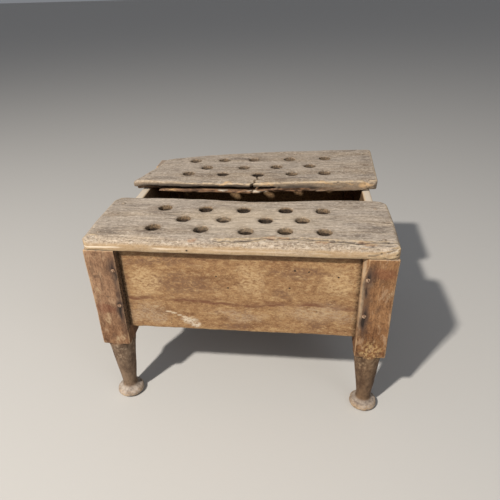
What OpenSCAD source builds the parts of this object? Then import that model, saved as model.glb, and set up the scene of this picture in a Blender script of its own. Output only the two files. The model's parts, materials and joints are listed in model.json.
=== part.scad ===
// Perforated-top rack on four turned legs. Millimetres, +Z up, front towards -Y.
// The origin is on the floor, under the middle of the outer box.

/* [Frame] */
// Width over the outer faces of the leg posts, along X
frame_w = 370; // [330:1:420]
// Depth over the outer faces of the leg posts, along Y
frame_d = 344; // [335:1:400]
// Height of the post tops, where the top boards lie
frame_h = 244; // [220:1:280]
// Side of the square post at the top of each leg
post_w = 38; // [35:1:42]
// Height of the post's lower end, where the turned part begins
post_foot_z = 101; // [80:1:110]

/* [Turned legs] */
// Radius of the leg just under its post
leg_top_r = 18; // [15:0.5:18.5]
// Radius of the leg's neck, above its foot
neck_r = 9.5; // [8:0.5:12]
// Height of the neck above the floor
neck_z = 19; // [17:0.5:24]
// Radius of the pad foot
foot_r = 18.5; // [17:0.5:22]
// Height of the foot's widest ring above the floor
foot_rim_z = 6; // [5:0.5:7]

/* [Panels] */
// Thickness of the four side panels
panel_t = 12; // [10:0.5:14]
// Distance from the posts' outer faces to the panels' outer faces
panel_recess = 9; // [8:0.5:12]
// Height of the panels' lower edges
panel_z = 123; // [115:1:130]
// Thickness of the tongue at each end of a panel
tongue_t = 8; // [6:0.5:9]
// Length of the tongue, which is the depth of its groove in the post
tongue_l = 14; // [10:0.5:15]

/* [Top boards] */
// Thickness of the two top boards
board_t = 17; // [14:0.5:20]
// How far the front board stands proud of the posts, at its front and at both ends
front_overhang = 1.5; // [0:0.5:4]
// How far the rear board stands proud of the posts at both ends
end_overhang = 3; // [2:0.5:4]
// How far the rear board's right end stands proud of the rear posts
rear_overhang = 14; // [8:0.5:18]
// Diameter of the holes that the tubes stand in
hole_d = 18; // [16:0.5:20]
// Radius of the boards' worn upper edges
worn_r = 6; // [3:0.5:7]

/* [Bottom] */
// Thickness of the three bottom boards
bottom_t = 9; // [8:0.5:12]
// Side of the two cleats that carry the bottom boards
cleat_w = 11; // [10:0.5:12]

/* [Nails] */
// Diameter of a nail's shank
shank_d = 2.6; // [2:0.1:3]
// Diameter of a nail's head
head_d = 5.2; // [4:0.1:6]

/* [Hidden] */
$fn = 64;

// Every piece is drawn about the middle of the four legs, and in_place() then moves it back or
// forward, because the rear board stands out further than the front one.
half_w = frame_w / 2;
half_d = frame_d / 2;
frame_mid_y = (front_overhang - rear_overhang) / 2;
past = 1;                              // how far each cut runs past the face that it opens
tongue_slip = 0.1;                     // clearance of a tongue in its groove, on every side

post_inner_x = half_w - post_w;
post_inner_y = half_d - post_w;
panel_outer_x = half_w - panel_recess;
panel_outer_y = half_d - panel_recess;
panel_inner_x = panel_outer_x - panel_t;
panel_inner_y = panel_outer_y - panel_t;
panel_mid_x = panel_outer_x - panel_t / 2;
panel_mid_y = panel_outer_y - panel_t / 2;
panel_h = frame_h - panel_z;
front_board_x = half_w + front_overhang;
rear_board_x = half_w + end_overhang;
board_front_y = -half_d - front_overhang;
board_rear_y = half_d + rear_overhang;

// Nail sizes. Each nail hole is a little wider than the shank.
shank_slip = 0.05;
head_h = 1.2;
point_h = 3;
panel_nail_l = 30;
board_nail_l = 42;
bottom_nail_l = 16;
cleat_nail_l = 19;

// Heights of the nails that hold the panels' tongues in the posts. Those of the end panels
// differ from those of the front and rear panels, because the nails cross inside each post.
tongue_mid_x = post_inner_x + tongue_l / 2;
tongue_mid_y = post_inner_y + tongue_l / 2;
long_panel_nail_z = [216, 164];
end_panel_nail_z = [204, 150];

// The top boards' nails, as [x, y], go down into the posts and into the panels' upper edges.
front_board_nails = [for (sx = [-1, 1], y = [16, 104]) [sx * panel_mid_x, y - half_d]];
rear_board_nails = [[-panel_mid_x, 224 - half_d], [panel_mid_x, 240 - half_d],
                    [60, panel_mid_y], [panel_mid_x - 2, panel_mid_y + 1]];

// The bottom boards lie on the cleats, just above the panels' lower edges.
cleat_z = panel_z + 1;
bottom_z = cleat_z + cleat_w;
bottom_gap = 1;                        // gap between two bottom boards, and round them
bottom_d = (2 * panel_inner_y - 4 * bottom_gap) / 3;
bottom_long = 2 * (panel_inner_x - bottom_gap);
cleat_mid_x = panel_inner_x - cleat_w / 2;
cleat_nail_y = [-100, 0, 100];

// Tube holes, as [x, distance back from the posts' front faces]. They were spaced by eye.
front_holes = [[-108, 34], [-47, 32], [9, 30], [56, 33], [103, 33],
               [-75, 61], [-23, 61], [30, 62], [76, 64],
               [-108, 94], [-52, 92], [-1, 92], [54, 94], [102, 94]];
rear_holes = [[-107, 229], [-51, 228], [5, 228], [57, 234], [108, 240],
              [-82, 258], [-21, 260], [31, 266], [85, 272],
              [-108, 291], [-59, 297], [-9, 301], [51, 306], [110, 311]];

// Points of an arc about c, from angle a0 to a1.
function arc(c, r, a0, a1, n = 6) =
    [for (i = [0:n]) c + r * [cos(a0 + (a1 - a0) * i / n), sin(a0 + (a1 - a0) * i / n)]];

// A point on a top board's edge, back being the distance from the posts' front faces.
function edge(x, back) = [x, back - half_d];

// Plan outlines of the top boards: sawn by hand, with hollow and tapering edges.
front_corner_r = 8;
front_back_r = 13;
front_outline = concat(
    arc([-front_board_x, board_front_y] + front_corner_r * [1, 1], front_corner_r, 180, 270),
    arc([front_board_x, board_front_y] + front_corner_r * [-1, 1], front_corner_r, -90, 0),
    arc(edge(front_board_x, 132) - front_back_r * [1, 1], front_back_r, 0, 90),
    [edge(126, 132), edge(70, 126), edge(4, 121), edge(-67, 126)],
    arc(edge(-front_board_x + 1, 128) + front_back_r * [1, -1], front_back_r, 90, 180));
rear_corner_r = 9;
rear_outline = concat(
    arc(edge(-rear_board_x, 203) + rear_corner_r * [1, 1], rear_corner_r, 180, 255),
    [edge(-140, 192), edge(-20, 187), edge(60, 196)],
    arc(edge(rear_board_x, 209) + rear_corner_r * [-1, 0], rear_corner_r, -80, 0),
    arc([rear_board_x, board_rear_y] - rear_corner_r * [1, 1], rear_corner_r, 0, 90),
    [edge(60, 352), edge(-4, 343), edge(-112, 318), edge(-152, 304),
     edge(-163, 294), edge(-166, 268), edge(-178, 234)]);

// One leg at the corner of the frame that sx and sy point to, each being -1 or 1.
// Post, taper and foot are one billet, with a groove down each inner face of the post.
module leg(sx, sy) {
    eased_r = post_w * 0.69;           // the post's arrises are just eased
    shoulder_h = 7;
    color("peru") difference() {
        translate([sx * (half_w - post_w / 2), sy * (half_d - post_w / 2), 0]) {
            intersection() {
                translate([-post_w / 2, -post_w / 2, post_foot_z])
                    cube([post_w, post_w, frame_h - post_foot_z]);
                rotate_extrude() polygon([
                    [0, post_foot_z], [post_w * 0.55, post_foot_z],
                    [eased_r, post_foot_z + shoulder_h], [eased_r, frame_h], [0, frame_h]]);
            }
            turned_part();
        }
        grooves(sx, sy);
        at_long_panel_nails(sx, sy) nail_hole(panel_nail_l);
        at_end_panel_nails(sx, sy) nail_hole(panel_nail_l);
        board_nail_holes();
    }
}

// Pad foot, neck and taper, from the floor up into the post.
module turned_part() {
    rim_r = 5;
    rotate_extrude() polygon(concat(
        [[0, 0], [foot_r - 4, 0]],
        arc([foot_r - rim_r, foot_rim_z], rim_r, -50, 80, 8),
        [[neck_r + 3.5, foot_rim_z + 6.2], [neck_r + 0.8, neck_z - 4], [neck_r, neck_z],
         [neck_r + 2.3, neck_z + 20], [neck_r + 5.4, neck_z + 46],
         [leg_top_r, post_foot_z], [leg_top_r, post_foot_z + past], [0, post_foot_z + past]]));
}

// The two grooves of the leg at (sx, sy), from the post's top down to the panels' lower edges.
module grooves(sx, sy) {
    wide = tongue_t + 2 * tongue_slip;
    deep = tongue_l + tongue_slip + past;
    high = panel_h + tongue_slip + past;
    mid_z = panel_z - tongue_slip + high / 2;
    translate([sx * (post_inner_x - past + deep / 2), sy * panel_mid_y, mid_z])
        cube([deep, wide, high], center = true);
    translate([sx * panel_mid_x, sy * (post_inner_y - past + deep / 2), mid_z])
        cube([wide, deep, high], center = true);
}

// The hole of a nail that is driven along -Z, with the underside of its head at z = 0.
module nail_hole(length) {
    translate([0, 0, -length]) cylinder(d = shank_d + 2 * shank_slip, h = length + past);
}

// A hand-made nail in the same place: low domed head, round shank, short point.
module nail(length) {
    color("dimgray") rotate_extrude($fn = 24) polygon([
        [0, -length], [shank_d / 2, -length + point_h], [shank_d / 2, 0], [head_d / 2, 0],
        [head_d / 2, head_h * 0.4], [head_d / 3, head_h * 0.85], [0, head_h]]);
}

// Places children, head out, on the front or rear face of the post at (sx, sy).
module at_long_panel_nails(sx, sy) {
    for (z = long_panel_nail_z)
        translate([sx * tongue_mid_x, sy * half_d, z]) rotate([-sy * 90, 0, 0]) children();
}

// Places children, head out, on the outer side face of the post at (sx, sy).
module at_end_panel_nails(sx, sy) {
    for (z = end_panel_nail_z)
        translate([sx * half_w, sy * tongue_mid_y, z]) rotate([0, sx * 90, 0]) children();
}

// Places children, head up, on a top board, at each [x, y] in the list.
module at_board_nails(places) {
    for (p = places)
        translate([p[0], p[1], frame_h + board_t]) children();
}

module board_nail_holes() {
    at_board_nails(front_board_nails) nail_hole(board_nail_l);
    at_board_nails(rear_board_nails) nail_hole(board_nail_l);
}

// Front or rear panel, with a tongue at each end in the posts' grooves.
module long_panel(sy) {
    color("sandybrown") difference() {
        translate([0, sy * panel_mid_y, panel_z + panel_h / 2]) {
            cube([2 * post_inner_x, panel_t, panel_h], center = true);
            cube([2 * (post_inner_x + tongue_l), tongue_t, panel_h], center = true);
        }
        for (sx = [-1, 1]) at_long_panel_nails(sx, sy) nail_hole(panel_nail_l);
        board_nail_holes();
    }
}

// Left or right end panel, built the same way between a front and a rear post.
module end_panel(sx) {
    color("sandybrown") difference() {
        translate([sx * panel_mid_x, 0, panel_z + panel_h / 2]) {
            cube([panel_t, 2 * post_inner_y, panel_h], center = true);
            cube([tongue_t, 2 * (post_inner_y + tongue_l), panel_h], center = true);
        }
        for (sy = [-1, 1]) at_end_panel_nails(sx, sy) nail_hole(panel_nail_l);
        board_nail_holes();
        at_cleat_nails(sx) nail_hole(cleat_nail_l);
    }
}

// A board of the given plan outline. Its edges are rounded where they reach the straight lines
// y = y0, y = y1, x = -end_x and x = end_x, more above than below.
module worn_board(outline, end_x, y0, y1) {
    low_r = worn_r / 2;
    module section(half) {
        polygon(concat(
            arc([-half + low_r, low_r], low_r, 180, 270, 4),
            arc([half - low_r, low_r], low_r, 270, 360, 4),
            arc([half - worn_r, board_t - worn_r], worn_r, 0, 90, 5),
            arc([-half + worn_r, board_t - worn_r], worn_r, 90, 180, 5)));
    }
    translate([0, 0, frame_h]) intersection() {
        linear_extrude(board_t) polygon(outline);
        translate([0, (y0 + y1) / 2, 0]) rotate([90, 0, 90])
            linear_extrude(2 * (end_x + past), center = true) section((y1 - y0) / 2);
        translate([0, (y0 + y1) / 2, 0]) rotate([90, 0, 0])
            linear_extrude(y1 - y0 + 2 * past, center = true) section(end_x);
    }
}

module tube_holes(places) {
    for (p = places)
        translate([p[0], p[1] - half_d, frame_h - past])
            cylinder(d = hole_d, h = board_t + 2 * past);
}

module front_top_board() {
    color("tan") difference() {
        worn_board(front_outline, front_board_x, board_front_y, edge(0, 132)[1]);
        tube_holes(front_holes);
        board_nail_holes();
    }
}

// The rear board is cracked through at the middle hole of its front row. The lower half of its
// front edge has split away from x = split_end leftwards, and is lost beyond the sliver's tip.
module rear_top_board() {
    color("tan") difference() {
        worn_board(rear_outline, rear_board_x, edge(0, 187)[1], board_rear_y);
        tube_holes(rear_holes);
        board_nail_holes();
        crack();
        split();
    }
}

module crack() {
    crack_w = 1.6;
    crack_l = 36;
    crack_turn = 82;                   // degrees from +X
    translate(concat(edge(0, 184), frame_h - past)) rotate([0, 0, crack_turn])
        translate([0, -crack_w / 2, 0]) cube([crack_l, crack_w, board_t + 2 * past]);
}

// The gap over the sliver, drawn as a side outline of [x, height over the board's underside].
module split() {
    split_end = 45;
    split_d = 16;                      // how deep it runs in from the board's front edge
    translate(concat(edge(0, 187 + split_d), frame_h)) rotate([90, 0, 0])
        linear_extrude(split_d + past) polygon([
            [-rear_board_x - past, -past], [-151, -past], [-150, 0.5], [-128, 5], [-60, 6.5],
            [0, 6], [split_end, 8], [0, 10], [-60, 9.5], [-130, 8.8], [-rear_board_x - past, 7]]);
}

// Bottom boards, row -1, 0 or 1 from the front. The outer two are notched round the posts.
module bottom_board(row) {
    notch = 2 * (post_w + bottom_gap);
    color("burlywood") difference() {
        translate([0, row * (bottom_d + bottom_gap), bottom_z + bottom_t / 2])
            cube([bottom_long, bottom_d, bottom_t], center = true);
        if (row != 0) for (sx = [-1, 1])
            translate([sx * half_w, row * half_d, bottom_z + bottom_t / 2])
                cube([notch, notch, bottom_t + 2 * past], center = true);
        at_bottom_nails(row) nail_hole(bottom_nail_l);
    }
}

// Places children, head up, on one bottom board: two over each cleat, clear of the notches.
module at_bottom_nails(row) {
    spread = bottom_d / 5;
    mid_y = row * (bottom_d + bottom_gap - bottom_d / 10);
    for (sx = [-1, 1], dy = [-spread, spread])
        translate([sx * cleat_mid_x, mid_y + dy, bottom_z + bottom_t]) children();
}

module bottom_cleat(sx) {
    color("burlywood") difference() {
        translate([sx * cleat_mid_x, 0, cleat_z + cleat_w / 2])
            cube([cleat_w, 2 * (post_inner_y - bottom_gap), cleat_w], center = true);
        for (row = [-1:1]) at_bottom_nails(row) nail_hole(bottom_nail_l);
        at_cleat_nails(sx) nail_hole(cleat_nail_l);
    }
}

// Places children on a cleat's inner face, head towards the middle of the rack.
module at_cleat_nails(sx) {
    for (y = cleat_nail_y)
        translate([sx * (panel_inner_x - cleat_w), y, cleat_z + cleat_w / 2])
            rotate([0, -sx * 90, 0]) children();
}

module in_place() {
    translate([0, frame_mid_y, 0]) children();
}

in_place() leg(-1, -1);  // leg_front_left
in_place() leg(1, -1);  // leg_front_right
in_place() leg(-1, 1);  // leg_rear_left
in_place() leg(1, 1);  // leg_rear_right
in_place() long_panel(-1);  // front_panel
in_place() long_panel(1);  // rear_panel
in_place() end_panel(-1);  // left_end_panel
in_place() end_panel(1);  // right_end_panel
in_place() front_top_board();
in_place() rear_top_board();
in_place() bottom_board(-1);  // bottom_board_front
in_place() bottom_board(0);  // bottom_board_middle
in_place() bottom_board(1);  // bottom_board_rear
in_place() bottom_cleat(-1);  // bottom_cleat_left
in_place() bottom_cleat(1);  // bottom_cleat_right
in_place() for (sx = [-1, 1]) at_long_panel_nails(sx, -1) nail(panel_nail_l);  // front_panel_nails
in_place() for (sx = [-1, 1]) at_long_panel_nails(sx, 1) nail(panel_nail_l);  // rear_panel_nails
in_place() for (sy = [-1, 1]) at_end_panel_nails(-1, sy) nail(panel_nail_l);  // left_panel_nails
in_place() for (sy = [-1, 1]) at_end_panel_nails(1, sy) nail(panel_nail_l);  // right_panel_nails
in_place() at_board_nails(front_board_nails) nail(board_nail_l);
in_place() at_board_nails(rear_board_nails) nail(board_nail_l);
in_place() for (row = [-1:1]) at_bottom_nails(row) nail(bottom_nail_l);  // bottom_board_nails
in_place() for (sx = [-1, 1]) at_cleat_nails(sx) nail(cleat_nail_l);  // cleat_nails
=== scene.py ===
# A low wooden rack for test tubes: a nailed box on turned legs, closed by two drilled boards.
import json
import math

import bmesh
import bpy
import numpy as np
from mathutils import Matrix, Vector


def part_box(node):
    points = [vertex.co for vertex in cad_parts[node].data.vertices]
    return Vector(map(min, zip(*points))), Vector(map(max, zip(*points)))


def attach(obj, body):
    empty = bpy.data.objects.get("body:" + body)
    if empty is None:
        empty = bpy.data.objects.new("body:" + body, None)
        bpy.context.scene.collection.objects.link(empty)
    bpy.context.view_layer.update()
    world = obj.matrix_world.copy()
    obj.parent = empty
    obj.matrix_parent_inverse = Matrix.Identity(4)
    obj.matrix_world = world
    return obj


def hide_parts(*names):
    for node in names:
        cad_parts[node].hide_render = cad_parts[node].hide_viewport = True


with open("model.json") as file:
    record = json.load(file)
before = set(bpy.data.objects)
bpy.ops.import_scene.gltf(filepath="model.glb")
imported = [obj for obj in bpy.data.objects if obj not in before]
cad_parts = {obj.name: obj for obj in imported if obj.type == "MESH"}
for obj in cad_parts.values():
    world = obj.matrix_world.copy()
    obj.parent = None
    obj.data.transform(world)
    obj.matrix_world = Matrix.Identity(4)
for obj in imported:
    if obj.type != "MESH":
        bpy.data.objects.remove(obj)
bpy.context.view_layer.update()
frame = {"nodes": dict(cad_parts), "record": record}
mm = 0.001

# Legs. Each is one billet of brown hardwood, left square where the panels are housed in it and
# turned below to a taper, a neck and a pad foot. Arrises are rubbed pale, and old iron has bled
# from the nails along the grain.


def uneven(points, spacing, seed):
    """Smooth random heights from -1 to 1; spacing gives how many millimetres lie between two
    bumps along x, y and z, and seed which heights they are."""
    place = points / (np.array(spacing) * mm)
    corner = np.floor(place).astype(int)
    part = place - corner
    part = part * part * (3 - 2 * part)
    table = np.random.default_rng(seed).permutation(256)
    total = np.zeros(len(points))
    for dx in (0, 1):
        for dy in (0, 1):
            for dz in (0, 1):
                x, y, z = (corner + (dx, dy, dz)).T
                height = table[(x + table[(y + table[z % 256]) % 256]) % 256] / 127.5 - 1
                weight = np.where((dx, dy, dz), part, 1 - part).prod(axis=1)
                total += height * weight
    return total


def waver(run, spacing, seed):
    """The same along a line, from each point's place on it."""
    return uneven(run[:, None] * (1, 0, 0), (spacing, 1, 1), seed)


def rise(values, low, high):
    """0 below low, 1 above high and a smooth step between; low may be the larger."""
    part = np.clip((values - low) / (high - low), 0, 1)
    return part * part * (3 - 2 * part)


def smooth(blank):
    """Moves each point half-way to the middle of its neighbours."""
    bmesh.ops.smooth_vert(blank, verts=blank.verts, factor=0.5, use_axis_x=True,
                          use_axis_y=True, use_axis_z=True)


def smoothed(blank, times):
    """The places of a mesh's points after it is rubbed smooth so many times."""
    soft = blank.copy()
    for _ in range(times):
        smooth(soft)
    places = np.array([point.co for point in soft.verts])
    soft.free()
    return places


room_low = Vector((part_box("left_end_panel")[1][0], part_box("front_panel")[1][1], 0))
room_high = Vector((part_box("right_end_panel")[0][0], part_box("rear_panel")[0][1], 0))
room_low.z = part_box("bottom_board_front")[1][2]
room_high.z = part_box("front_top_board")[0][2]


def inside(points):
    """How much painted shade darkens the points that line the room inside the box, and 0 for the
    others.
    """
    faded_over = 14 * mm
    depth = np.minimum(points - np.array(room_low), np.array(room_high) - points).min(axis=1)
    # The painted shade deepens over the first 14 mm below the top.
    faded = rise(points[:, 2], room_high.z, room_high.z - faded_over)
    return rise(depth, -1.4 * mm, -0.4 * mm) * (0.12 + 0.48 * faded)


def as_object(name, made):
    """Links a bmesh as an object."""
    mesh = bpy.data.meshes.new(name)
    made.to_mesh(mesh)
    made.free()
    thing = bpy.data.objects.new(name, mesh)
    bpy.context.collection.objects.link(thing)
    return thing


def seasoned(name, blank, cell, rub, marks=None, cutter=None):
    """Turns a rough blank of closed, overlapping shapes into one skin of old wood.

    name is the CAD piece that it stands for, cell the skin's mesh size and rub how far its
    arrises are worn, from 0 to 1. marks takes the points and their directions. It may move the
    points, and gives how far each one sinks, how iron-stained each one is and how much painted
    shade and dirt darken each one, from 0 to 1; on the top boards the iron value is painted
    shade that blackens the holes' walls. cutter is an object that is cut out of the blank.
    """
    piece = as_object(name + "_wood", blank)
    if cutter:
        cut = piece.modifiers.new("cut", "BOOLEAN")
        cut.object = cutter
        cut.solver = "EXACT"
        cut.use_self = True
    skin = piece.modifiers.new("skin", "REMESH")
    skin.mode = "VOXEL"
    skin.voxel_size = cell
    worked = piece.evaluated_get(bpy.context.evaluated_depsgraph_get())
    skinned = bmesh.new()
    skinned.from_mesh(worked.to_mesh())
    worked.to_mesh_clear()
    piece.modifiers.clear()
    if cutter:
        bpy.data.objects.remove(cutter)

    smooth(skinned)
    skinned.normal_update()
    points = np.array([point.co for point in skinned.verts])
    facing = np.array([point.normal for point in skinned.verts])
    arris_reach, shade_reach = 3.4 * mm, 2.6 * mm
    broad = smoothed(skinned, round((arris_reach / cell) ** 2 * 2))
    edge = rise(((points - broad) * facing).sum(axis=1), 0.1 * mm, 0.9 * mm)
    patchy = 0.55 + 0.45 * uneven(points, (14, 14, 14), 3)
    points += (broad - points) * (rub * edge * patchy)[:, None]
    points -= facing * (0.16 * mm * uneven(points, (22, 22, 22), 5)
                        + 0.1 * mm * uneven(points, (7, 7, 7), 6))[:, None]
    iron = np.zeros(len(points))
    # Painted shade darkens the inside of the box.
    shade_and_dirt = inside(points)
    if marks:
        sunk, iron, marks_shade_and_dirt = marks(points, facing)
        shade_and_dirt = np.maximum(shade_and_dirt, marks_shade_and_dirt)
        points -= facing * sunk[:, None]

    for point, place in zip(skinned.verts, points):
        point.co = place
    skinned.normal_update()
    facing = np.array([point.normal for point in skinned.verts])
    broad = smoothed(skinned, round((shade_reach / cell) ** 2 * 2) + 1)
    bulge = ((points - broad) * facing).sum(axis=1)
    for face in skinned.faces:
        face.smooth = True
    skinned.to_mesh(piece.data)
    skinned.free()
    for title, values in (("rubbed", rise(bulge, 0.1 * mm, 0.55 * mm)),
                          ("sunken", rise(-bulge, 0.06 * mm, 0.45 * mm)),
                          ("iron", iron), ("shade_and_dirt", shade_and_dirt)):
        layer = piece.data.attributes.new(title, "FLOAT", "POINT")
        layer.data.foreach_set("value", values.astype(np.float32))
    return piece


def block(blank, low, high):
    """Adds a plain block between two corners to a blank."""
    size = [b - a for a, b in zip(low, high)]
    middle = [(a + b) / 2 for a, b in zip(low, high)]
    made = bmesh.ops.create_cube(blank, size=1)
    bmesh.ops.scale(blank, vec=size, verts=made["verts"])
    bmesh.ops.translate(blank, vec=middle, verts=made["verts"])
    return made["verts"]


def plate(blank, outline, low, high):
    """Adds a plate of a plan outline, a list of (x, y), between two heights to a blank."""
    corners = [blank.verts.new((x, y, low)) for x, y in outline]
    face = blank.faces.new(corners)
    raised = bmesh.ops.extrude_face_region(blank, geom=[face])["geom"]
    tops = [item for item in raised if isinstance(item, bmesh.types.BMVert)]
    bmesh.ops.translate(blank, vec=(0, 0, high - low), verts=tops)
    return corners + tops


def turned(blank, profile, x, y):
    """Adds a turned shape to a blank, from (radius, height) points that start and end at 0."""
    line = [blank.verts.new((x + radius, y, height)) for radius, height in profile]
    edges = [blank.edges.new(pair) for pair in zip(line, line[1:])]
    bmesh.ops.spin(blank, geom=line + edges, cent=(x, y, 0), axis=(0, 0, 1),
                   angle=math.tau, steps=48, use_merge=True)
    bmesh.ops.remove_doubles(blank, verts=blank.verts, dist=0.01 * mm)


class Wire:
    """One output of a node. Sums on it become Math nodes."""

    def __init__(self, finish, socket):
        self.finish = finish
        self.socket = socket

    def sum(self, operation, first, second):
        return self.finish.node("ShaderNodeMath", {"operation": operation}, {0: first, 1: second})

    def __add__(self, other):
        return self.sum("ADD", self, other)

    def __radd__(self, other):
        return self.sum("ADD", other, self)

    def __sub__(self, other):
        return self.sum("SUBTRACT", self, other)

    def __rsub__(self, other):
        return self.sum("SUBTRACT", other, self)

    def __mul__(self, other):
        return self.sum("MULTIPLY", self, other)


class Finish:
    """A material under the brush: layers of colour are laid on it, and then it is sealed.

    here is the place in the object and place the same with the grain along its first axis, both
    in millimetres. bent is place bent as the grain sways.
    """

    def __init__(self, name):
        self.material = bpy.data.materials.new(name)
        self.material.use_nodes = True
        self.tree = self.material.node_tree
        self.surface = self.tree.nodes["Principled BSDF"]
        texture_place = self.node("ShaderNodeTexCoord", {}, {}, "Object")
        self.here = self.place = self.bent = self.stretch(texture_place, (1 / mm,) * 3)

    def node(self, kind, settings, sockets, output=0):
        made = self.tree.nodes.new(kind)
        for key, value in settings.items():
            setattr(made, key, value)
        for key, value in sockets.items():
            self.join(made.inputs[key], value)
        return Wire(self, made.outputs[output])

    def join(self, socket, value):
        if isinstance(value, Wire):
            self.tree.links.new(value.socket, socket)
        elif socket.type == "RGBA":
            socket.default_value = (*value, 1)
        else:
            socket.default_value = value

    def mix(self, first, second, share, way="MIX"):
        return self.node("ShaderNodeMix", {"data_type": "RGBA", "blend_type": way},
                         {0: share, 6: first, 7: second}, 2)

    def lay(self, tone, share, way="MIX"):
        """Lays one more tone over the colour so far."""
        self.colour = self.mix(self.colour, tone, share, way)

    def stretch(self, place, by):
        return self.node("ShaderNodeVectorMath", {"operation": "MULTIPLY"}, {0: place, 1: by})

    def shift(self, place, by):
        return self.node("ShaderNodeVectorMath", {"operation": "ADD"}, {0: place, 1: by})

    def part(self, axis, place=None):
        return self.node("ShaderNodeSeparateXYZ", {}, {"Vector": place or self.here}, axis)

    def upward(self):
        """How much the surface looks up, from -1 to 1."""
        return self.part("Z", self.node("ShaderNodeNewGeometry", {}, {}, "Normal"))

    def noise(self, along, across, detail=3.0, rough=0.55, place=None, output=0):
        """Soft noise round 0.5, of so many bumps to the millimetre along and across the grain."""
        place = self.stretch(place or self.place, (along, across, across))
        return self.node("ShaderNodeTexNoise", {}, {
            "Vector": place, "Scale": 1.0, "Detail": detail, "Roughness": rough}, output)

    def dots(self, along, across, place):
        """Distance from the nearest of many scattered points."""
        place = self.stretch(place, (along, across, across))
        return self.node("ShaderNodeTexVoronoi", {}, {"Vector": place, "Scale": 1.0})

    def mask(self, value, low, high):
        """0 at low, 1 at high and a smooth step between; low may be the larger."""
        return self.node("ShaderNodeMapRange", {"interpolation_type": "SMOOTHSTEP"},
                         {"Value": value, "From Min": low, "From Max": high})

    def worn(self, name):
        """One of the values that seasoned() left on the mesh."""
        return self.node("ShaderNodeAttribute", {"attribute_name": name}, {}, "Fac")

    def wander(self, spacing, reach):
        """here pushed about by up to half of reach, so that an outline on it turns ragged."""
        drift = self.noise(1 / spacing, 1 / spacing, 4.0, 0.5, self.here, "Color")
        pushed = self.stretch(self.shift(drift, (-0.5,) * 3), (reach,) * 3)
        return self.shift(self.here, pushed)

    def spot(self, place, middle, size):
        """A soft patch: 1 in its middle and 0 past its half sizes, all in millimetres."""
        gap = self.shift(place, [-value for value in middle])
        gap = self.stretch(gap, [1 / value for value in size])
        far = self.node("ShaderNodeVectorMath", {"operation": "LENGTH"}, {0: gap}, "Value")
        return self.mask(far, 1.0, 0.35)

    def paint(self, place, tone, spots, strength):
        """Lays one tone in each of a list of spots."""
        for middle, size in spots:
            self.lay(tone, self.spot(place, middle, size) * strength)

    def seal(self, roughness, height, depth):
        """depth is the bump's height in metres for a height of 1."""
        bump = self.node("ShaderNodeBump", {}, {"Height": height, "Distance": depth})
        for key, value in (("Base Color", self.colour), ("Roughness", roughness),
                           ("Normal", bump), ("Specular IOR Level", 0.3)):
            self.join(self.surface.inputs[key], value)
        return self.material


def old_wood(name, along, dark, middle, light, offset, figure=0.5):
    """The wood that every piece starts from: long fibres, rings, blotches, pores and dirt.

    along is the grain's axis, offset tells apart the woods of different pieces, and figure is
    how much of the pattern runs with the grain.
    """
    coat = Finish(name)
    turn = {"X": (0, 0, 0), "Y": (0, 0, -math.pi / 2), "Z": (0, math.pi / 2, 0)}[along]
    place = coat.node("ShaderNodeMapping", {"vector_type": "POINT"},
                      {"Vector": coat.here, "Rotation": turn})
    coat.place = place = coat.shift(place, (offset * 371.0, offset * 97.0, offset * 53.0))
    sway = coat.noise(0.01, 0.022, 2.0)
    over = coat.part("Y", place) + (sway - 0.5) * 26
    coat.bent = bent = coat.node("ShaderNodeCombineXYZ", {}, {
        "X": coat.part("X", place), "Y": over, "Z": coat.part("Z", place)})
    fibre = coat.noise(0.05, 1.0, 4.0, 0.65, bent)
    rings = coat.noise(1, 1, 3.0, 0.5, coat.stretch(bent, (0.01, 0.2, 0.16)))
    patch = coat.noise(0.018, 0.036, 3.0, 0.6)
    mottle = coat.noise(0.1, 0.17, 5.0, 0.72)
    grit = coat.noise(0.42, 0.62, 3.0, 0.7)
    pores = coat.dots(0.16, 0.62, bent)

    tone = (fibre * 0.5 + rings * 0.5) * figure + (mottle * 0.62 + grit * 0.38) * (1 - figure)
    coat.colour = coat.mix(dark, middle, coat.mask(tone, 0.39, 0.5))
    coat.lay(light, coat.mask(tone, 0.5, 0.6))
    coat.lay(coat.mix(coat.colour, dark, 0.55), coat.mask(patch, 0.52, 0.68))
    coat.lay(light, coat.mask(1 - patch, 0.55, 0.7) * 0.4)
    fleck = coat.mask(pores, 0.22, 0.08) * coat.mask(mottle, 0.48, 0.6)
    coat.lay(dark, fleck * 0.6)
    coat.lay(dark, coat.mask(grit, 0.53, 0.63) * 0.65)
    coat.lay(light, coat.mask(grit, 0.47, 0.37) * 0.55)
    coat.height = fibre * 0.35 * figure + mottle * 0.3 + grit * 0.35 - fleck * 0.4
    return coat


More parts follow.
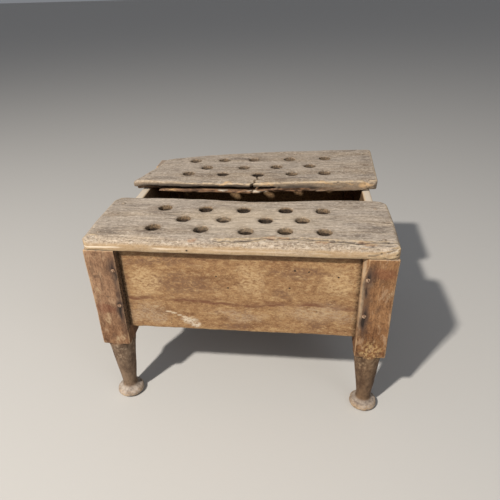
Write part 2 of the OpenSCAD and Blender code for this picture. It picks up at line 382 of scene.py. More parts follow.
def aged(coat, worn, depth=0.7 * mm, spared=0.0):
    """The wear that ends each wood's finish: pale arrises, dirt, iron stains, and painted shade
    with darker rings round the hole rims; on the top boards the iron layer paints the holes'
    walls black as shade.

    spared is 1 where no arris is rubbed pale.
    """
    mottle = coat.noise(0.16, 0.24, 5.0, 0.65)
    streak = coat.noise(0.06, 0.7, 4.0, 0.6)
    crumb = coat.noise(0.38, 0.38, 3.0, 0.6)
    shade_and_dirt = coat.worn("shade_and_dirt")
    rubbed = coat.worn("rubbed") * coat.mask(mottle, 0.32, 0.55) * coat.mask(shade_and_dirt, 0.3, 0.0)
    rubbed = rubbed * (1 - spared)
    coat.lay(worn, rubbed * 0.8)
    coat.lay((0.03, 0.021, 0.015), coat.worn("sunken") * 0.72)
    # On the legs this lays the iron stains of the nails; on the top boards the iron value is
    # painted shade, and the black layer paints the holes' walls black.
    iron = coat.worn("iron")
    coat.lay((0.085, 0.05, 0.035), coat.mask(iron, 0.04, 0.5) * 0.65)
    black = coat.mask(iron + (streak - 0.5) * 0.9 + (mottle - 0.5) * 0.6, 0.36, 0.85)
    coat.lay((0.015, 0.011, 0.009), black * 0.88)
    # Painted shade inside the box, in the posts' housings, beside the posts and down the holes,
    # laid as a dark crumbly tone, with darker rings round the hole rims and along the rear board's
    # crack.
    shade_and_dirt_tone = coat.mix((0.02, 0.013, 0.008), (0.21, 0.135, 0.075), coat.mask(crumb, 0.42, 0.6))
    coat.lay(shade_and_dirt_tone, shade_and_dirt * 0.88)
    return coat.seal(0.8 - rubbed * 0.16 + (mottle - 0.5) * 0.2, coat.height, depth)


corner = {"leg_front_left": (-1, -1), "leg_front_right": (1, -1),
          "leg_rear_left": (-1, 1), "leg_rear_right": (1, 1)}
post_foot = 98.5 * mm
panel_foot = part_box("front_panel")[0][2]
groove = 8.2 * mm
groove_deep = 14.2 * mm
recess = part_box("front_panel")[0][1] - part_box("leg_front_left")[0][1]
panel_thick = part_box("front_panel")[1][1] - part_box("front_panel")[0][1]


def leg_blank(sx, sy, low, high):
    """Post with its two grooves, and the turned part below it."""
    width = high[0] - low[0]
    x, y = (low[0] + high[0]) / 2, (low[1] + high[1]) / 2
    half = width / 2
    blank = bmesh.new()
    solid = block(blank, (x - half, y - half, post_foot), (x + half, y + half, panel_foot + mm))
    near = half - recess - panel_thick / 2 - groove / 2
    far = near + groove
    deep = -half + groove_deep
    notched = [(half, half), (-half, half), (-half, far), (deep, far), (deep, near),
               (-half, near), (-half, -half), (near, -half), (near, deep), (far, deep),
               (far, -half), (half, -half)]
    plate(blank, [(x + sx * a, y + sy * b) for a, b in notched], panel_foot, high[2])
    lower = [edge for edge in blank.edges if all(v in solid for v in edge.verts)
             and all(abs(v.co.z - post_foot) < 0.1 * mm for v in edge.verts)]
    bmesh.ops.bevel(blank, geom=lower, offset=2.5 * mm, segments=2, profile=0.5,
                    affect="EDGES", material=-1)
    profile = [(0, 0), (13.2, 0), (16.4, 1.4), (18.4, 4.2), (18.5, 7.4), (16.8, 10.2),
               (13.2, 12.0), (11.0, 13.8), (9.9, 16.6), (9.6, 19.6), (10.4, 27), (12.2, 42),
               (14.2, 60), (16.3, 80), (17.5, 89), (18.8, 95), (18.8, 98), (17.9, 99),
               (17.9, 108), (0, 108)]
    turned(blank, [(radius * mm, height * mm) for radius, height in profile], x, y)
    bmesh.ops.recalc_face_normals(blank, faces=blank.faces)
    return blank


front_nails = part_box("front_panel_nails")
nail_head = 2.6 * mm
nail_rows = [front_nails[0][2] + nail_head, front_nails[1][2] - nail_head]
nail_column = front_nails[1][0] - nail_head


def nail_bloom(points, x, z):
    """The stain round one nail: a soft cloud, and a thinner run that trails below the head."""
    across = points[:, 0] - x + 1.3 * mm * uneven(points, (60, 60, 13), 71)
    below = z - points[:, 2]
    cloud = np.exp(-(across / (5.2 * mm)) ** 2 - ((below - 3 * mm) / (17 * mm)) ** 2)
    trail = np.exp(-(across / (2.1 * mm)) ** 2) * rise(below, -16 * mm, 2 * mm)
    trail *= rise(below, 36 * mm, 12 * mm)
    broken = 0.72 + 0.42 * uneven(points, (5, 30, 11), 72)
    return np.maximum(cloud, trail) * broken


def leg_marks(seed, sx, sy):
    """Dents and chips, the stains of the panel nails, and a leg or an arris gone its own way."""
    def marks(points, facing):
        x, y, z = points.T
        sunk = 0.3 * mm * rise(uneven(points * (1, 1, 0.3), (5, 5, 5), seed), 0.35, 0.9)
        sunk += 0.7 * mm * rise(uneven(points * (1, 1, 0.4), (7, 7, 7), seed + 1), 0.66, 0.92)
        foot = rise(z, 13 * mm, 9 * mm)
        sunk += foot * 0.9 * mm * rise(uneven(points, (5, 5, 5), seed + 2), 0.35, 0.8)
        hem = rise(z, post_foot + 9 * mm, post_foot)
        hem *= rise(z, post_foot - 3 * mm, post_foot - mm)
        sunk += hem * 1.1 * mm * rise(uneven(points, (6, 6, 6), seed + 3), 0.2, 0.8)
        tall = z / mm
        if (sx, sy) == (-1, -1):
            x -= np.interp(tall, [0, 35, 98, 244], [1.7, 1.8, 2.2, 2.0]) * mm
            y -= np.interp(tall, [0, 98], [3, 0]) * mm
            outer = rise(x, -172 * mm, -182 * mm)
            x -= 1.4 * mm * outer * rise(z, 150 * mm, 240 * mm)
        if (sx, sy) == (1, -1):
            x += np.interp(tall, [0, 40, 98], [1.8, 1.6, 0.2]) * mm
            outer = rise(x, 170 * mm, 180 * mm) * (z > post_foot - mm)
            x += outer * np.interp(tall, [98, 200, 235, 244], [1.2, 1.3, 2.4, 3.0]) * mm
            inner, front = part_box("leg_front_right")[0][:2]
            pared = 6.5 * mm * rise(z, 210 * mm, 238 * mm)
            short = np.maximum(pared - (x - inner) - (y - front), 0) / 2
            short *= y < front + 10 * mm
            x += short
            y += short
        iron = np.zeros(len(points))
        outside = facing[:, 1] * sy > 0.5
        for row in nail_rows:
            iron = np.maximum(iron, nail_bloom(points, sx * nail_column, row) * outside)
        # The inner faces in the posts' housings are darkened as painted shade, only lightly on the
        # front right leg.
        housing = (facing[:, 0] * -sx > 0.5) & (z > panel_foot)
        return sunk, iron, housing * (0.1 if (sx, sy) == (1, -1) else 0.85)
    return marks


def upright(y, deep, spots):
    """Spots in millimetres on an upright face at y, from (x, height, half width, half height)."""
    return [((x, y, z), (wide, deep, tall)) for x, z, wide, tall in spots]


coat = old_wood(
    "leg wood", "Z", dark=(0.1, 0.05, 0.028), middle=(0.245, 0.134, 0.074),
    light=(0.37, 0.225, 0.13), offset=1, figure=0.55)
ragged = coat.wander(9.0, 12.0)
warm = coat.mask(coat.part("X"), -40.0, 60.0)
coat.lay((0.9, 0.79, 0.61), warm, "MULTIPLY")
chips = coat.noise(0.2, 0.26, 4.0, 0.65)
up = coat.part("Z")
coat.lay((0.8, 0.72, 0.64), coat.mask(up, 165.0, 115.0), "MULTIPLY")
blotch = coat.noise(0.045, 0.11, 4.0, 0.65)
coat.lay((0.1, 0.052, 0.03), coat.mask(blotch, 0.54, 0.66) * 0.5)
coat.lay((0.43, 0.285, 0.17), coat.mask(blotch, 0.46, 0.36) * 0.5)
coat.paint(coat.wander(5.0, 3.0), (0.5, 0.385, 0.255),
           [((149.5, -174, 188), (4, 8, 82))], 0.75)
coat.paint(ragged, (0.175, 0.055, 0.028),
           upright(-178, 12, [(-174, 158, 22, 12), (172, 225, 20, 10)]), 0.42)
coat.paint(ragged, (0.05, 0.028, 0.02), upright(-178, 9, [
    (-178, 207, 6, 4), (-153, 181, 5, 7), (154, 104, 8, 6), (-166, 178, 4, 3), (-157, 224, 7, 18),
    (-152, 192, 6, 28), (-151, 158, 7, 26), (-152, 126, 6, 26), (157, 222, 10, 22),
    (154, 182, 7, 34), (156, 148, 6, 30)]), 0.5)
coat.paint(ragged, (0.44, 0.31, 0.18), upright(-178, 9, [
    (-179, 185, 6, 9), (181, 199, 5, 10), (-173, 142, 6, 12), (-160, 110, 12, 8)]),
           coat.mask(chips, 0.4, 0.6) * 0.7)
raw = coat.spot(ragged, (167, -178, 108), (20, 14, 27)) * coat.mask(chips, 0.44, 0.6)
coat.lay((0.47, 0.31, 0.14), raw * 0.8)
upward = coat.upward()
end_grain = coat.mask(upward, 0.3, 0.8) * coat.mask(up, 236.0, 241.0)
coat.lay((0.3, 0.245, 0.195), end_grain * 0.8)
smear = coat.noise(0.05, 0.09, 4.0, 0.6)
handled = coat.mask(up + (smear - 0.5) * 8, 100.5, 95.5)
grey_turned = coat.mix((0.086, 0.056, 0.037), (0.225, 0.156, 0.103),
                       coat.mask(smear * 0.6 + chips * 0.4, 0.38, 0.62))
high_up = coat.mask(up, 55.0, 88.0)
grey_turned = coat.mix(grey_turned, (0.34, 0.255, 0.175),
                       coat.mask(chips + high_up * 0.05, 0.56, 0.66) * high_up * 0.8)
grey_turned = coat.mix(grey_turned, (0.76, 0.69, 0.6), warm, "MULTIPLY")
coat.lay(grey_turned, handled * 0.85)
pad = coat.mask(up + (chips - 0.5) * 6, 17.0, 12.5)
pad_tone = coat.mix((0.225, 0.178, 0.145), (0.46, 0.39, 0.325),
                    coat.mask(smear * 0.4 + chips * 0.6, 0.38, 0.6))
pad_tone = coat.mix(pad_tone, (0.82, 0.8, 0.78), warm, "MULTIPLY")
pad_tone = coat.mix(pad_tone, (0.6, 0.44, 0.27),
                    coat.mask(chips, 0.54, 0.62) * coat.mask(up, 9.0, 5.0))
coat.lay(pad_tone, pad * 0.9)
leg_wood = aged(coat, (0.5, 0.325, 0.175))

for seed, (name, (sx, sy)) in enumerate(corner.items()):
    low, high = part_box(name)
    leg = seasoned(name, leg_blank(sx, sy, low, high), 1.15 * mm, 0.2,
                   leg_marks(40 + 7 * seed, sx, sy))
    leg.data.materials.append(leg_wood)
    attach(leg, "root")
    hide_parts(name)

# Side panels. Four planed boards of warm tan softwood, their ends thinned to tongues that slide
# down the posts' grooves. The lower edges were never trued, and wander a little.
tongue = 7.6 * mm


def panel_blank(name, axis):
    """Board and tongue of one panel; axis is the way that it runs, 0 for x and 1 for y."""
    low, high = (list(end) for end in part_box(name))
    blank = bmesh.new()
    side = 1 - axis
    shoulder_low, shoulder_high = list(low), list(high)
    shoulder_low[axis] += groove_deep - 0.2 * mm
    shoulder_high[axis] -= groove_deep - 0.2 * mm
    block(blank, shoulder_low, shoulder_high)
    middle = (low[side] + high[side]) / 2
    low[side], high[side] = middle - tongue / 2, middle + tongue / 2
    block(blank, low, high)
    return blank


def panel_marks(seed, axis):
    """Planing ripples, a wandering lower edge, a few dents, and painted shadow of the posts on the
    panel beside them.
    """
    def marks(points, facing):
        run = points[:, axis]
        flat = points.copy()
        flat[:, axis] *= 0.3
        sunk = 0.25 * mm * rise(uneven(flat, (6, 6, 6), seed), 0.3, 0.9)
        lower = rise(points[:, 2], panel_foot + 8 * mm, panel_foot)
        lift = 0.8 * mm * (1 + waver(run, 55, seed + 1))
        lift += 0.4 * mm * (1 + waver(run, 8, seed + 2))
        points[:, 2] += lower * lift
        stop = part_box("leg_rear_right")[0][axis]
        # Painted shadow of the posts darkens the panel next to them.
        marks_shade_and_dirt = rise(np.abs(run), stop - 7 * mm, stop - 0.5 * mm) * 0.75
        return sunk, np.zeros(len(points)), marks_shade_and_dirt
    return marks


def panel_wood(name, along, offset, blemished=False):
    """Tan softwood with warm mottling and one wavy dark season line below the middle; the front
    panel is blemished with patches, a scrape and beetle holes as well."""
    coat = old_wood(
        name, along, dark=(0.138, 0.06, 0.026), middle=(0.285, 0.156, 0.07),
        light=(0.43, 0.275, 0.132), offset=offset, figure=0.25)
    ragged = coat.wander(22.0, 34.0)
    up = coat.part("Z")
    speck = coat.noise(0.13, 0.36, 3.0, 0.65, coat.bent)
    coat.lay((0.125, 0.056, 0.025), coat.mask(speck, 0.55, 0.67) * 0.42)
    coat.lay((0.58, 0.42, 0.225), coat.mask(speck, 0.45, 0.33) * 0.32)
    if blemished:
        face = panel_face / mm
        crumbs = coat.noise(0.2, 0.36, 4.0, 0.7)
        coat.paint(ragged, (0.54, 0.375, 0.2), upright(face, 12, [
            (14, 208, 28, 34), (-120, 195, 30, 30), (125, 205, 36, 26)]),
                   coat.mask(crumbs, 0.36, 0.62) * 0.7)
        coat.paint(ragged, (0.51, 0.4, 0.275), upright(face, 12, [
            (-118, 147, 38, 26), (105, 158, 66, 17), (0, 150, 50, 10)]),
                   coat.mask(crumbs, 0.3, 0.66) * 0.42)
        coat.paint(ragged, (0.15, 0.078, 0.046), upright(face, 12, [
            (-70, 195, 62, 22), (56, 188, 20, 10), (-4, 136, 26, 9), (100, 141, 20, 9),
            (-100, 226, 70, 9), (80, 218, 60, 8)]), coat.mask(crumbs, 0.64, 0.4) * 0.75)
        coat.paint(coat.wander(8.0, 10.0), (0.6, 0.51, 0.39), upright(face, 12, [
            (-66, 139, 13, 7), (-58, 132, 9, 6)]), coat.mask(crumbs, 0.38, 0.52) * 0.85)
        crisp = coat.wander(3.0, 2.0)
        coat.paint(crisp, (0.6, 0.49, 0.35), upright(face, 12, [
            (-93, 151.5, 6, 1.7), (-86, 149.5, 6, 1.7), (-79, 146.5, 5, 1.8), (-73, 144, 5, 2)]),
                   0.75)
        coat.paint(crisp, (0.015, 0.01, 0.007),
                   upright(face, 9, [(x, z, 1.7, 1.5) for x, z in worm_holes]), 0.95)
    drift = coat.noise(0.012, 0.012, 3.0)
    gap = up - 169 - (drift - 0.5) * 34
    season = coat.mask(gap, 9.0, 0.0) * coat.mask(gap, -2.5, 0.0)
    broken = coat.mask(coat.noise(0.03, 0.1, 3.0), 0.34, 0.62)
    coat.lay((0.13, 0.048, 0.026), season * broken * 0.8)
    upward = coat.upward()
    # Painted shadow under the top boards' overhang, with some dirt, darkens a band along the top
    # of each panel's upright faces.
    head = coat.mask(up + (drift - 0.5) * 14, 229.0, 240.0) * coat.mask(upward, 0.5, 0.2)
    coat.lay((0.115, 0.062, 0.036), head * 0.45)
    coat.lay((0.6, 0.53, 0.44), coat.mask(upward, 0.35, 0.8) * 0.85)
    bore = coat.dots(0.02, 0.02, coat.place)
    worm = coat.mask(bore, 0.024, 0.018)
    coat.lay((0.02, 0.012, 0.008), worm)
    coat.height -= worm
    return aged(coat, (0.55, 0.38, 0.2), 0.5 * mm)


panel_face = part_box("front_panel")[0][1]
worm_holes = [(-27, 208), (-13, 192), (69, 220), (86, 219), (63, 195), (121, 213)]
front_wood = panel_wood("front panel wood", "X", 2, blemished=True)
rear_wood = panel_wood("rear panel wood", "X", 6)
end_wood = panel_wood("end panel wood", "Y", 5)
panels = {"front_panel": (0, front_wood), "rear_panel": (0, rear_wood),
          "left_end_panel": (1, end_wood), "right_end_panel": (1, end_wood)}
for seed, (name, (axis, wood)) in enumerate(panels.items()):
    panel = seasoned(name, panel_blank(name, axis), 1.6 * mm, 0.5,
                     panel_marks(80 + 5 * seed, axis))
    panel.data.materials.append(wood)
    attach(panel, "root")
    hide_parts(name)

# Bottom. Three sawn boards lie loose-jointed on two cleats that are nailed to the end panels.
# Dull, dusty wood that has never been planed.


def sawn_wood(name, along, offset):
    """Rough wood with the marks of a coarse saw across its grain."""
    coat = old_wood(
        name, along, dark=(0.09, 0.056, 0.034), middle=(0.19, 0.13, 0.083),
        light=(0.3, 0.22, 0.148), offset=offset)
    kerf = coat.noise(0.55, 0.03, 2.0)
    coat.height += kerf * 0.5
    return aged(coat, (0.38, 0.29, 0.19))


bottom_wood = sawn_wood("bottom board wood", "X", 7)
cleat_wood = sawn_wood("cleat wood", "Y", 8)
post_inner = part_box("leg_front_right")[0][0]


def bottom_blank(name):
    """A bottom board or cleat, whose outer corners are notched round any posts in its way."""
    low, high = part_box(name)
    front_face, rear_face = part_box("leg_front_left")[1][1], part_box("leg_rear_left")[0][1]
    near, far, stop = low[1], high[1], None
    if low[1] < front_face:
        stop = front_face + mm
    if high[1] > rear_face:
        near, far, stop = high[1], low[1], rear_face - mm
    outline = [(low[0], near), (high[0], near), (high[0], far), (low[0], far)]
    if stop:
        notch_x = post_inner - mm
        outline = [(-notch_x, near), (notch_x, near), (notch_x, stop), (high[0], stop),
                   (high[0], far), (low[0], far), (low[0], stop), (-notch_x, stop)]
    blank = bmesh.new()
    plate(blank, outline, low[2], high[2])
    bmesh.ops.recalc_face_normals(blank, faces=blank.faces)
    return blank


cells = {"bottom_board_front": 2.2 * mm, "bottom_board_middle": 2.2 * mm,
         "bottom_board_rear": 2.2 * mm, "bottom_cleat_left": 1.6 * mm,
         "bottom_cleat_right": 1.6 * mm}
for name, cell in cells.items():
    sawn = seasoned(name, bottom_blank(name), cell, 0.5 if "cleat" in name else 0.4)
    sawn.data.materials.append(cleat_wood if "cleat" in name else bottom_wood)
    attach(sawn, "root")
    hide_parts(name)

# Top boards. Two thick sawn boards, weathered grey, drilled by hand with staggered rows of holes
# and nailed down on the posts and panels. The front one's long front arris is worn round and
# pitted. The rear one tapers to its left end, is cracked, and its underside is splitting away.
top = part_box("front_top_board")[1][2]
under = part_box("front_top_board")[0][2]
post_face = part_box("leg_front_left")[0][1]
board_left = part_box("front_top_board")[0][0] - 1.8 * mm
board_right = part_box("front_top_board")[1][0] + 1.6 * mm
half_rear_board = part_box("rear_top_board")[1][0]
board_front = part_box("front_top_board")[0][1] + 0.6 * mm
board_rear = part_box("rear_top_board")[1][1]
hole_radius = 9 * mm
holes = {mount["name"]: mount["pos_m"] for mount in frame["record"]["mounts"]
         if mount["kind"] == "bore"}
# Holes whose walls are painted black as shade almost from the top, where they look into the dark
# box.
blackest = ("front_board_back_row_hole_2", "front_board_back_row_hole_3",
            "front_board_back_row_hole_4", "front_board_middle_row_hole_3",
            "rear_board_front_row_hole_3", "rear_board_front_row_hole_2")


def back(*spots):
    """Plan points from (x, distance back from the posts' front faces) in millimetres."""
    return [(x * mm, post_face + depth * mm) for x, depth in spots]


def round_corner(x, y, radius, start, turn=90, steps=5):
    """Points of an arc round (x, y), from the angle start through turn degrees."""
    angles = [math.radians(start + turn * step / steps) for step in range(steps + 1)]
    return [(x + radius * math.cos(a), y + radius * math.sin(a)) for a in angles]


def drill(board):
    """A cutter for a board's holes. Each leans a little and is not quite round, and the rear
    board's middle row broke out wide where the drill came through below."""
    crooked, uneven_width = 0.035, 0.02
    cutter = bmesh.new()
    lean = np.random.default_rng(11)
    for name, (x, y, z) in holes.items():
        if not name.startswith(board):
            continue
        made = bmesh.ops.create_cone(cutter, cap_ends=True, segments=28, depth=30 * mm,
                                     radius1=hole_radius * 0.94, radius2=hole_radius)["verts"]
        tilt = Matrix.Rotation(lean.normal(0, crooked), 4, "X")
        tilt @= Matrix.Rotation(lean.normal(0, crooked), 4, "Y")
        oval = Matrix.Diagonal((1 + lean.normal(0, uneven_width),
                                1 + lean.normal(0, uneven_width), 1, 1))
        place = Matrix.Translation((x, y, z))
        bmesh.ops.transform(cutter, matrix=place @ tilt @ oval, verts=made)
        if name.startswith("rear_board_middle"):
            made = bmesh.ops.create_cone(cutter, cap_ends=True, segments=28, depth=12 * mm,
                                         radius1=16 * mm, radius2=8.6 * mm)["verts"]
            broken_out = (x + 2 * mm, y + 3 * mm, under + 4 * mm)
            bmesh.ops.translate(cutter, vec=broken_out, verts=made)
    return cutter


def ease(blank, level, offset, segments, test=lambda x, y: True):
    """Bevels the edges of a blank that lie at one height and pass a test of their place."""
    edges = [edge for edge in blank.edges
             if all(abs(v.co.z - level) < 0.1 * mm for v in edge.verts)
             and test(*(edge.verts[0].co + edge.verts[1].co).xy / 2)]
    bmesh.ops.bevel(blank, geom=edges, offset=offset, segments=segments, profile=0.5,
                    affect="EDGES", material=-1, clamp_overlap=True)


def worn_over(points, axis, face, way, level, side, radius):
    """Wears an arris round. The face's plane looks along way on an axis, and the arris is where
    it meets the top, side 1, or the underside, side -1, at a level."""
    out = (points[:, axis] - face) * way + radius
    up = (points[:, 2] - level) * side + radius
    reach = np.hypot(out, up)
    over = (out > 0) & (up > 0) & (reach > radius)
    short = np.where(over, radius / np.maximum(reach, 1e-9), 1)
    points[:, axis] = np.where(over, face + way * (out * short - radius), points[:, axis])
    points[:, 2] = np.where(over, level + side * (up * short - radius), points[:, 2])


def hole_marks(points, board):
    """How far the holes' torn rims sink, how black their walls are painted as shade, and how much
    painted shade darkens the walls, with a faint dark ring round each rim.
    """
    near = np.full(len(points), 1.0)
    black = np.zeros(len(points))
    for name, (x, y, z) in holes.items():
        if name.startswith(board):
            far = np.hypot(points[:, 0] - x, points[:, 1] - y)
            near = np.minimum(near, far)
            # Painted shade: each wall is painted black below a thin unshaded band at its top.
            unshaded = (0.5 if name in blackest else 3.5) * mm
            hole_shade = rise(points[:, 2], top - unshaded, top - unshaded - 4.5 * mm)
            hole_shade *= rise(far, hole_radius + 2 * mm, hole_radius + 0.6 * mm)
            black = np.maximum(black, hole_shade)
    # The walls are darkened as painted shade, and a faint dark ring lies round each rim.
    wall = 0.75 * rise(near, hole_radius + 1.0 * mm, hole_radius + 0.1 * mm)
    halo = 0.25 * rise(near, hole_radius + 6 * mm, hole_radius + 2 * mm)
    wall = np.maximum(wall * (1 - black), halo)
    rim = rise(near, hole_radius + 3 * mm, hole_radius)
    torn = rise(uneven(points, (5, 3.4, 6), 51), -0.1, 0.8)
    return rim * torn * 0.35 * mm, black, wall


def board_blank(outline):
    """A flat board between the underside and the top."""
    blank = bmesh.new()
    plate(blank, outline, under, top)
    bmesh.ops.recalc_face_normals(blank, faces=blank.faces)
    return blank


def dried(points, facing, seed, ripple, hollow, hollow_spans, furrow, furrow_span):
    """How far a top has sunk: fine ripples, broad hollows and narrow furrows along the grain,
    whose depths and spans are in millimetres."""
    sunk = ripple * uneven(points, (90, 4.2, 60), seed)
    sunk += hollow * rise(uneven(points, hollow_spans, seed + 1), 0.3, 0.9)
    sunk += furrow * rise(uneven(points, (furrow_span, 2.6, 20), seed + 7), 0.35, 0.8)
    return rise(facing[:, 2], 0.4, 0.9) * sunk * mm


def fissures(points, width, seed):
    """Thin winding lines along x: 1 in a line and 0 away from it."""
    field = uneven(points, (26, 6, 9), seed)
    field += 0.35 * uneven(points, (7, 3, 4), seed + 1)
    return rise(np.abs(field), width, 0)


front_outline = (
    round_corner(board_left + 10 * mm, board_front + 10 * mm, 10 * mm, 180)
    + back((-120, -1.0), (-40, -1.2), (60, -1.0), (130, -0.9))
    + round_corner(board_right - 10 * mm, board_front + 10 * mm, 10 * mm, 270)
    + round_corner(board_right - 15 * mm, post_face + 117 * mm, 14 * mm, 0)
    + back((126, 131.6), (96, 129), (70, 125.6), (38, 121.8), (4, 120.8), (-30, 123.2),
           (-67, 125.8), (-110, 126.6))
    + round_corner(board_left + 14 * mm, post_face + 114 * mm, 13 * mm, 90))
front_blank = board_blank(front_outline)
ease(front_blank, top, 2.5 * mm, 2, lambda x, y: y > board_front + 10 * mm)
ease(front_blank, under, 1.2 * mm, 1, lambda x, y: y > board_front + 10 * mm)


def front_marks(points, facing):
    """Grain ripples on top, a round front arris, and a rotten crack line where it starts."""
    x = points[:, 0]
    run = x.copy()
    swing = waver(run, 60, 29)
    worn_over(points, 1, board_front, -1, top, 1, (12.5 + 1.5 * swing) * mm)
    worn_over(points, 1, board_front, -1, under, -1,
              (1.6 + 1.8 * rise(np.abs(x), 130 * mm, 170 * mm) + 0.4 * swing) * mm)
    near_front = rise(points[:, 1], board_front + 60 * mm, board_front + 5 * mm)
    for way, end in ((-1, board_left), (1, board_right)):
        worn_over(points, 0, end, way, top, 1, (4 + 4 * near_front) * mm)
        worn_over(points, 0, end, way, under, -1, 2.5 * mm)
    sunk = dried(points, facing, 21, 0.2, 0.55, (38, 15, 30), 0.35, 30)

    line = np.interp(x / mm, [-166, -110, -53, -5, 20, 33, 72, 106, 148, 178],
                     [6, 5, 6.4, 5.4, 8, 14, 14, 11, 8.5, 12]) * mm
    line += 1.8 * mm * waver(run, 19, 23)
    line += 0.9 * mm * waver(run, 5, 30)
    off = points[:, 1] - post_face - line
    strong = rise(waver(run, 17, 26) + 1.2 * rise(x, -70 * mm, 30 * mm), 0.1, 0.9)
    strong *= rise(x, -85 * mm, -50 * mm)
    fat = 1.8 + 2.0 * rise(waver(run, 8, 37), -0.2, 0.8)
    crack = rise(np.abs(off), fat * mm, 0.2 * mm) * strong
    ahead = rise(off, 5 * mm, 0) * rise(off, -14 * mm, -9 * mm)
    pits = rise(uneven(points, (6, 3.4, 4), 24), 0.25, 0.75)
    high = rise(points[:, 2], top - 9 * mm, top - 4 * mm)
    ends = 0.3 + 0.7 * rise(np.abs(x + 12 * mm), 60 * mm, 150 * mm)
    sunk += high * (2.1 * mm * crack + ahead * ends * 1.0 * mm * pits)
    layers = rise(x, 125 * mm, 160 * mm) * rise(-facing[:, 1], 0.4, 0.8)
    sunk += layers * 1.1 * mm * fissures(points * (1, 0.3, 2.0), 0.2, 25)
    face = rise(-facing[:, 1], 0.4, 0.8)
    sunk += face * 0.5 * mm * rise(uneven(points, (14, 5, 5), 27), 0.2, 0.8)
    torn, black, wall = hole_marks(points, "front_board")
    return sunk + torn, black, wall


front_board = seasoned("front_top_board", front_blank, 1.3 * mm, 0.6, front_marks,
                       as_object("front drill", drill("front_board")))

rear_outline = (
    round_corner(-half_rear_board + 6.5 * mm, post_face + 200 * mm, 7 * mm, 170, 80)
    + back((-158, 192.6), (-140, 190.6), (-95, 187.6), (-41, 188.4), (-6, 186.2), (14, 189),
           (40, 193.4), (71, 197.6), (100, 200.4), (123, 202.6), (153, 205))
    + round_corner(half_rear_board - 9.5 * mm, post_face + 214 * mm, 8 * mm, 280, 80)
    + round_corner(half_rear_board - 4 * mm, board_rear - 7 * mm, 6.5 * mm, 0)
    + back((120, 356.8), (68, 352.6), (30, 347.4), (-4, 342.6), (-60, 330), (-111, 317.4),
           (-150, 303.6), (-160, 298), (-163.6, 286), (-165.4, 266), (-170, 248), (-175, 232),
           (-180.6, 216)))
rear_blank = board_blank(rear_outline)
ease(rear_blank, top, 3.4 * mm, 4, lambda x, y: x < -95 * mm)
ease(rear_blank, top, 2.6 * mm, 3, lambda x, y: x > -94 * mm)
ease(rear_blank, under, 1.5 * mm, 1)


def split_wedge(cutter):
    """The gap that opens into the front edge between the board and the layer splitting off it.
    Its outline is in x and height over the underside. Left of it, that layer is gone."""
    outline = [(-200, -8), (-153, -8), (-152, -0.6), (-141, 2.6), (-128, 4), (-96, 4.6),
               (-60, 5.4), (-30, 4.8), (0, 5.4), (26, 6.8), (56, 8), (30, 9.6), (0, 10.6),
               (-30, 9.6), (-60, 10.2), (-96, 9.4), (-130, 9.2), (-152, 8.6), (-166, 8.2),
               (-200, 7.4)]
    verts = plate(cutter, [(x * mm, under + height * mm) for x, height in outline],
                  -(post_face + 205 * mm), -(post_face + 170 * mm))
    bmesh.ops.transform(cutter, matrix=Matrix.Rotation(math.pi / 2, 4, "X"), verts=verts)


crack = back((5, 226), (3.5, 214), (6.5, 207), (1, 201), (3, 195), (-1.5, 189), (0.5, 180))


def crack_blade(cutter):
    """A zigzag blade from the middle front hole out through the front edge, wider at each turn."""
    widths = (1.5, 1.7, 2, 2.2, 3, 4.4)
    for (x0, y0), (x1, y1), wide in zip(crack, crack[1:], widths):
        length = math.dist((x0, y0), (x1, y1))
        verts = bmesh.ops.create_cube(cutter, size=1)["verts"]
        spin = Matrix.Rotation(math.atan2(y1 - y0, x1 - x0), 4, "Z")
        place = Matrix.Translation(((x0 + x1) / 2, (y0 + y1) / 2, top))
        size = Matrix.Diagonal((length + 1.2 * mm, wide * mm, 18 * mm, 1))
        bmesh.ops.transform(cutter, matrix=place @ spin @ size, verts=verts)


